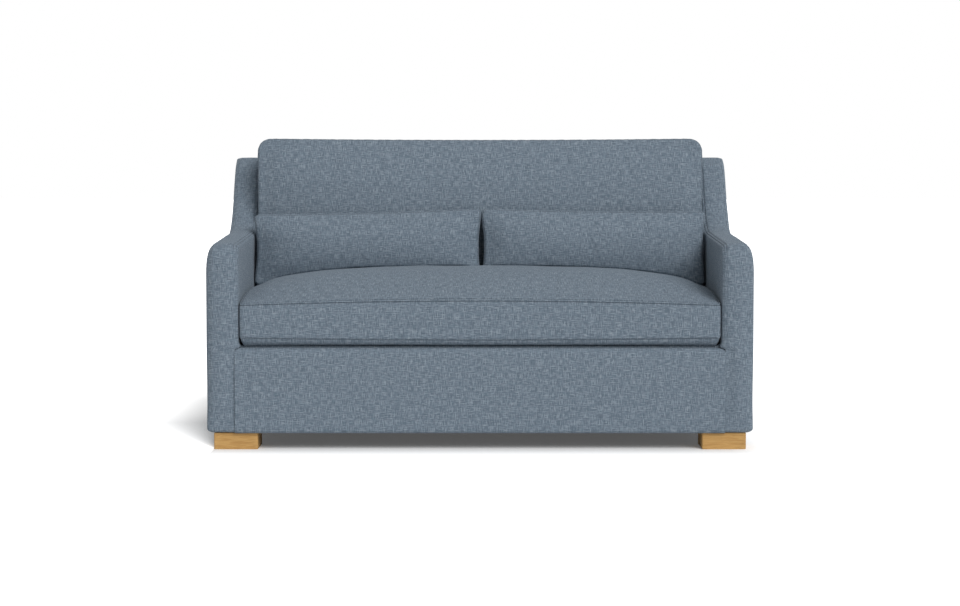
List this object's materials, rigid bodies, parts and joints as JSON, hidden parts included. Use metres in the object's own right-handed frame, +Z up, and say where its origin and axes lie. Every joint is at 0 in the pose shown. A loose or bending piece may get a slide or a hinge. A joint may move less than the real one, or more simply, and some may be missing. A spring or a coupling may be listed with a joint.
{
  "type": "high back settee",
  "caption": "Upholstered high back settee with scoop arms, bench seat cushion, full-width back cushion, lumbar cushions and low oak block feet.",
  "frame": {"origin": "middle of the settee's footprint, on the floor", "axes": "+Z up, +X along the width to the right of someone looking at the front, -Y towards the front"},
  "size_m": [1.676, 0.965, 0.965],
  "materials": {
    "cover_cloth": "matte",
    "decking": "matte",
    "lining": "matte",
    "foam": "matte",
    "webbing": "matte",
    "frame_wood": "matte",
    "foot_oak": "satin",
    "spring_steel": "satin"
  },
  "bodies": {
    "frame": {"back_lower_rail": "frame_wood", "back_top_rail": "frame_wood", "back_centre_post": "frame_wood", "back_webbing_1": "webbing", "back_webbing_2": "webbing", "back_webbing_3": "webbing", "back_webbing_4": "webbing", "right_front_foot": "foot_oak", "left_front_foot": "foot_oak", "right_front_foot_bolt": "spring_steel", "left_front_foot_bolt": "spring_steel", "right_rear_foot": "foot_oak", "left_rear_foot": "foot_oak", "right_rear_foot_bolt": "spring_steel", "left_rear_foot_bolt": "spring_steel", "dust_cover": "lining", "front_rail": "frame_wood", "rear_seat_rail": "frame_wood", "back_bottom_rail": "frame_wood", "right_side_rail": "frame_wood", "left_side_rail": "frame_wood", "centre_stretcher": "frame_wood", "right_front_corner_block": "frame_wood", "left_front_corner_block": "frame_wood", "right_rear_corner_block": "frame_wood", "left_rear_corner_block": "frame_wood", "right_arm_cover": "cover_cloth", "left_arm_cover": "cover_cloth", "right_arm_top_rail": "frame_wood", "left_arm_top_rail": "frame_wood", "right_arm_front_post": "frame_wood", "left_arm_front_post": "frame_wood", "right_back_post": "frame_wood", "left_back_post": "frame_wood", "seat_spring_1": "spring_steel", "seat_spring_2": "spring_steel", "seat_spring_3": "spring_steel", "seat_spring_4": "spring_steel", "seat_spring_5": "spring_steel", "seat_spring_6": "spring_steel", "seat_spring_7": "spring_steel", "seat_spring_8": "spring_steel", "seat_spring_9": "spring_steel", "front_spring_clip_strip": "spring_steel", "rear_spring_clip_strip": "spring_steel", "spring_tie_wire": "spring_steel", "deck_pad": "foam", "deck_cover": "decking", "base_front_cover": "cover_cloth", "inner_back_cover": "cover_cloth", "outer_back_cover": "cover_cloth"},
    "seat_cushion": {"seat_cushion_cover": "cover_cloth", "seat_cushion_core": "foam"},
    "back_cushion": {"back_cushion_cover": "cover_cloth", "back_cushion_core": "foam"},
    "left_lumbar": {"left_lumbar_cover": "cover_cloth", "left_lumbar_core": "foam"},
    "right_lumbar": {"right_lumbar_cover": "cover_cloth", "right_lumbar_core": "foam"}
  },
  "joints": [
    {"name": "seat_cushion_lift", "type": "slide", "parent": "frame", "child": "seat_cushion", "axis": [0, 0, 1], "range_m": [0, 0.36]},
    {"name": "back_cushion_lift", "type": "slide", "parent": "seat_cushion", "child": "back_cushion", "axis": [0, 0.1219, 0.9925], "range_m": [0, 0.46]},
    {"name": "left_lumbar_lift", "type": "slide", "parent": "seat_cushion", "child": "left_lumbar", "axis": [0, 0, 1], "range_m": [0, 0.2]},
    {"name": "right_lumbar_lift", "type": "slide", "parent": "seat_cushion", "child": "right_lumbar", "axis": [0, 0, 1], "range_m": [0, 0.2]}
  ]
}
